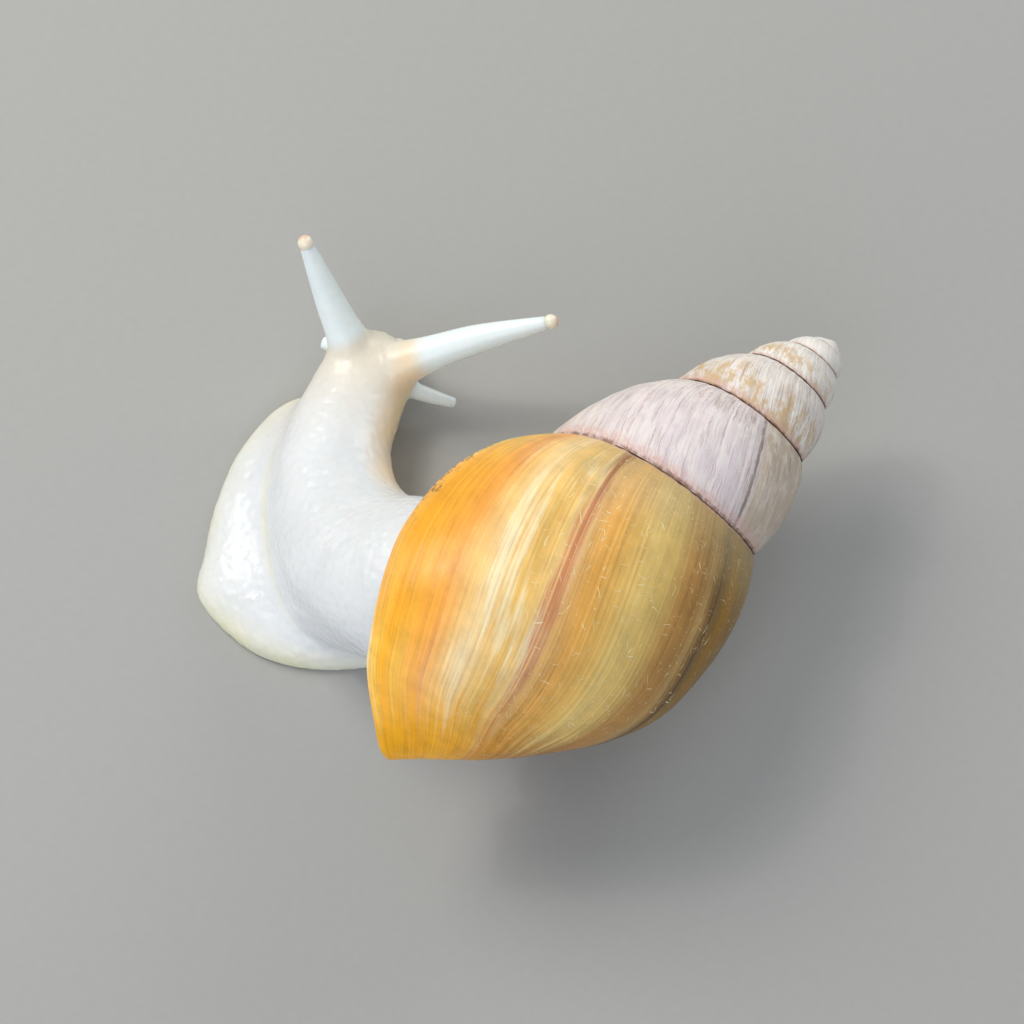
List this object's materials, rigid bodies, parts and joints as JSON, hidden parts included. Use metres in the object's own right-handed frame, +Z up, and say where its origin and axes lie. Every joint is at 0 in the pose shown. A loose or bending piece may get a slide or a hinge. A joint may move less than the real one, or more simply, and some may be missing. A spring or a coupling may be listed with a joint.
{
  "type": "giant african land snail, white-bodied, life-size model",
  "caption": "Still model of a white-bodied giant African land snail: amber shell with a pale spire, body bent round and head raised, resting on its sole.",
  "frame": {"origin": "on the flat underside of the foot, under the place where the body leaves the shell", "axes": "+Z up; +X in plan along the shell's axis, from its base towards its apex; the body leaves the shell on the +Y side and the head points to +X and a little to +Y"},
  "size_m": [0.0692, 0.0672, 0.0333],
  "materials": {
    "shell": "glossy amber and golden-brown on the last whorl, matt chalky white with a lilac tint on the spire",
    "flesh": "wet, translucent white skin with coarse glossy bumps, cream on the head and the lower margin of the foot",
    "eye": "wet, pale pinkish beige"
  },
  "bodies": {
    "root": {"shell": "shell", "mantle": "flesh", "foot": "flesh", "tail": "flesh", "neck": "flesh", "head": "flesh", "tentacle_upper_left": "flesh", "tentacle_upper_right": "flesh", "tentacle_lower_left": "flesh", "tentacle_lower_right": "flesh", "eye_left": "eye", "eye_right": "eye"}
  },
  "joints": []
}
